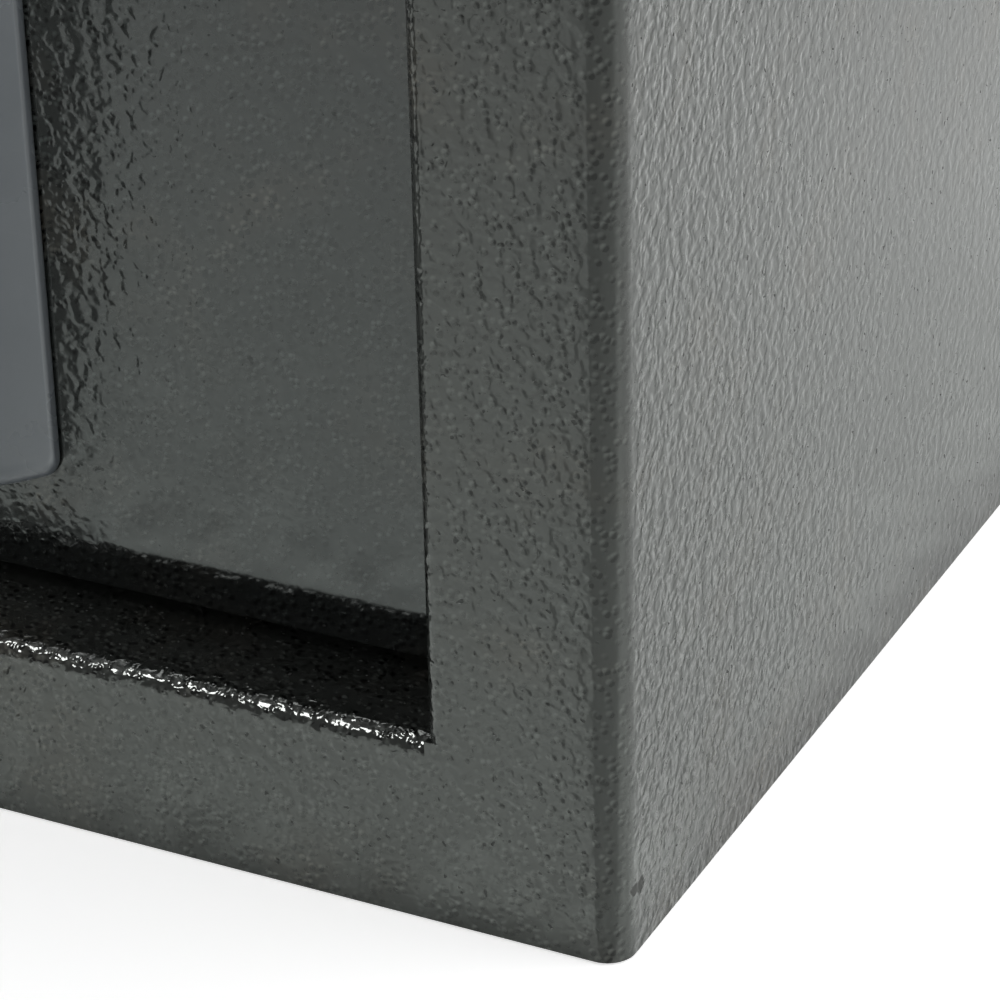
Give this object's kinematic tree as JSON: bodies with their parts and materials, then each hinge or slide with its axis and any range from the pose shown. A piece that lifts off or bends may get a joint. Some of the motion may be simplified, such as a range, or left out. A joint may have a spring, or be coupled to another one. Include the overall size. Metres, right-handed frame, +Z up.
{
  "type": "drop safe with deposit drawer",
  "caption": "Free-standing steel drop safe with a recessed keypad vault door below and a pull-out deposit drawer above, whose floor tips what is deposited down into the vault.",
  "frame": {"origin": "centre of the footprint, on the floor", "axes": "+Z up, -Y towards the front with the door and the drawer, +X to the right seen from the front"},
  "size_m": [0.35, 0.362, 0.5],
  "materials": {
    "hammer_paint": "dark green-grey hammer-texture powder coat, glossy",
    "inner_paint": "smooth dark grey paint on inner sheet metal",
    "lock_plate_satin": "satin silver-grey moulded plate",
    "key_plastic": "light grey keys with moulded numbers",
    "black_plastic": "fine-textured black moulding",
    "zinc_steel": "bright zinc plated steel",
    "chrome": "polished chrome",
    "brass": "turned brass",
    "rubber": "translucent grey silicone rubber",
    "board": "green solder mask",
    "lens": "tinted clear lens",
    "cell_wrap": "plain two-tone cell sleeve",
    "red_plastic": "glossy red moulding"
  },
  "bodies": {
    "cabinet": {"side_left": "hammer_paint", "side_right": "hammer_paint", "top_panel": "hammer_paint", "bottom_panel": "hammer_paint", "mid_rail": "hammer_paint", "back_panel": "hammer_paint", "vault_deck": "inner_paint", "drawer_bay": "inner_paint", "cam_plate_left": "zinc_steel", "cam_plate_right": "zinc_steel", "runners": "zinc_steel", "anti_fish_teeth": "zinc_steel", "hinge_pins": "zinc_steel"},
    "door": {"door_plate": "hammer_paint", "hinge_blocks": "hammer_paint", "lock_plate": "lock_plate_satin", "door_fasteners": "zinc_steel", "keypad_housing": "black_plastic", "keypad_mat": "rubber", "circuit_board": "board", "indicator_lenses": "lens", "spindle_bush": "brass", "lock_cylinder": "zinc_steel", "bolt_guides": "inner_paint", "solenoid": "zinc_steel", "door_pan": "hammer_paint", "battery_box": "black_plastic", "batteries": "cell_wrap", "reset_switch": "black_plastic"},
    "battery_lid": {"battery_cover": "black_plastic"},
    "reset": {"reset_button": "red_plastic"},
    "knob_set": {"knob": "chrome", "spindle": "zinc_steel", "pinion": "zinc_steel"},
    "boltwork": {"bolt_carriage": "zinc_steel", "lock_bolts": "chrome"},
    "blocker": {"plunger": "zinc_steel", "plunger_spring": "zinc_steel"},
    "plug_set": {"lock_plug": "brass", "override_lever": "zinc_steel"},
    "keyhole_cover": {"key_cover": "lock_plate_satin"},
    "drawer": {"drawer_front": "hammer_paint", "drawer_box": "inner_paint", "drawer_rails": "zinc_steel", "floor_rod": "zinc_steel", "drawer_handle": "chrome", "drawer_screws": "zinc_steel"},
    "drawer_floor": {"tip_floor": "zinc_steel"},
    "button_1": {"key_1": "key_plastic"},
    "button_2": {"key_2": "key_plastic"},
    "button_3": {"key_3": "key_plastic"},
    "button_4": {"key_4": "key_plastic"},
    "button_5": {"key_5": "key_plastic"},
    "button_6": {"key_6": "key_plastic"},
    "button_7": {"key_7": "key_plastic"},
    "button_8": {"key_8": "key_plastic"},
    "button_9": {"key_9": "key_plastic"},
    "button_star": {"key_star": "key_plastic"},
    "button_0": {"key_0": "key_plastic"},
    "button_hash": {"key_hash": "key_plastic"}
  },
  "joints": [
    {"name": "door_hinge", "type": "hinge", "parent": "cabinet", "child": "door", "pos_m": [-0.131, -0.149, 0.165], "axis": [0, 0, -1], "range_deg": [0, 95]},
    {"name": "drawer_slide", "type": "slide", "parent": "cabinet", "child": "drawer", "axis": [0, -1, 0], "range_m": [0, 0.15]},
    {"name": "floor_tip", "type": "hinge", "parent": "drawer", "child": "drawer_floor", "pos_m": [0, -0.143, 0.353], "axis": [1, 0, 0], "range_deg": [0, 25]},
    {"name": "knob_turn", "type": "hinge", "parent": "door", "child": "knob_set", "pos_m": [0, -0.16, 0.132], "axis": [0, -1, 0], "range_deg": [0, 80.3]},
    {"name": "bolt_throw", "type": "slide", "parent": "door", "child": "boltwork", "axis": [1, 0, 0], "range_m": [0, 0.014]},
    {"name": "plunger_lift", "type": "slide", "parent": "door", "child": "blocker", "axis": [0, 0, 1], "range_m": [0, 0.006], "deforming": ["plunger_spring"]},
    {"name": "plug_turn", "type": "hinge", "parent": "door", "child": "plug_set", "pos_m": [0, -0.15, 0.074], "axis": [0, -1, 0], "range_deg": [-90, 0]},
    {"name": "cover_swing", "type": "hinge", "parent": "door", "child": "keyhole_cover", "pos_m": [0, -0.16, 0.0875], "axis": [0, 1, 0], "range_deg": [-100, 100]},
    {"name": "lid_slide", "type": "slide", "parent": "door", "child": "battery_lid", "axis": [1, 0, 0], "range_m": [0, 0.038]},
    {"name": "reset_press", "type": "slide", "parent": "door", "child": "reset", "axis": [0, -1, 0], "range_m": [0, 0.0015], "stiffness_N_per_m": 400},
    {"name": "press_1", "type": "slide", "parent": "door", "child": "button_1", "axis": [0, 1, 0], "range_m": [0, 0.0012], "stiffness_N_per_m": 500},
    {"name": "press_2", "type": "slide", "parent": "door", "child": "button_2", "axis": [0, 1, 0], "range_m": [0, 0.0012], "stiffness_N_per_m": 500},
    {"name": "press_3", "type": "slide", "parent": "door", "child": "button_3", "axis": [0, 1, 0], "range_m": [0, 0.0012], "stiffness_N_per_m": 500},
    {"name": "press_4", "type": "slide", "parent": "door", "child": "button_4", "axis": [0, 1, 0], "range_m": [0, 0.0012], "stiffness_N_per_m": 500},
    {"name": "press_5", "type": "slide", "parent": "door", "child": "button_5", "axis": [0, 1, 0], "range_m": [0, 0.0012], "stiffness_N_per_m": 500},
    {"name": "press_6", "type": "slide", "parent": "door", "child": "button_6", "axis": [0, 1, 0], "range_m": [0, 0.0012], "stiffness_N_per_m": 500},
    {"name": "press_7", "type": "slide", "parent": "door", "child": "button_7", "axis": [0, 1, 0], "range_m": [0, 0.0012], "stiffness_N_per_m": 500},
    {"name": "press_8", "type": "slide", "parent": "door", "child": "button_8", "axis": [0, 1, 0], "range_m": [0, 0.0012], "stiffness_N_per_m": 500},
    {"name": "press_9", "type": "slide", "parent": "door", "child": "button_9", "axis": [0, 1, 0], "range_m": [0, 0.0012], "stiffness_N_per_m": 500},
    {"name": "press_star", "type": "slide", "parent": "door", "child": "button_star", "axis": [0, 1, 0], "range_m": [0, 0.0012], "stiffness_N_per_m": 500},
    {"name": "press_0", "type": "slide", "parent": "door", "child": "button_0", "axis": [0, 1, 0], "range_m": [0, 0.0012], "stiffness_N_per_m": 500},
    {"name": "press_hash", "type": "slide", "parent": "door", "child": "button_hash", "axis": [0, 1, 0], "range_m": [0, 0.0012], "stiffness_N_per_m": 500}
  ],
  "couplings": [
    {"joint": "floor_tip", "follows": "drawer_slide", "rad_per_m": 2.9088},
    {"joint": "knob_turn", "follows": "bolt_throw", "rad_per_m": 100}
  ]
}
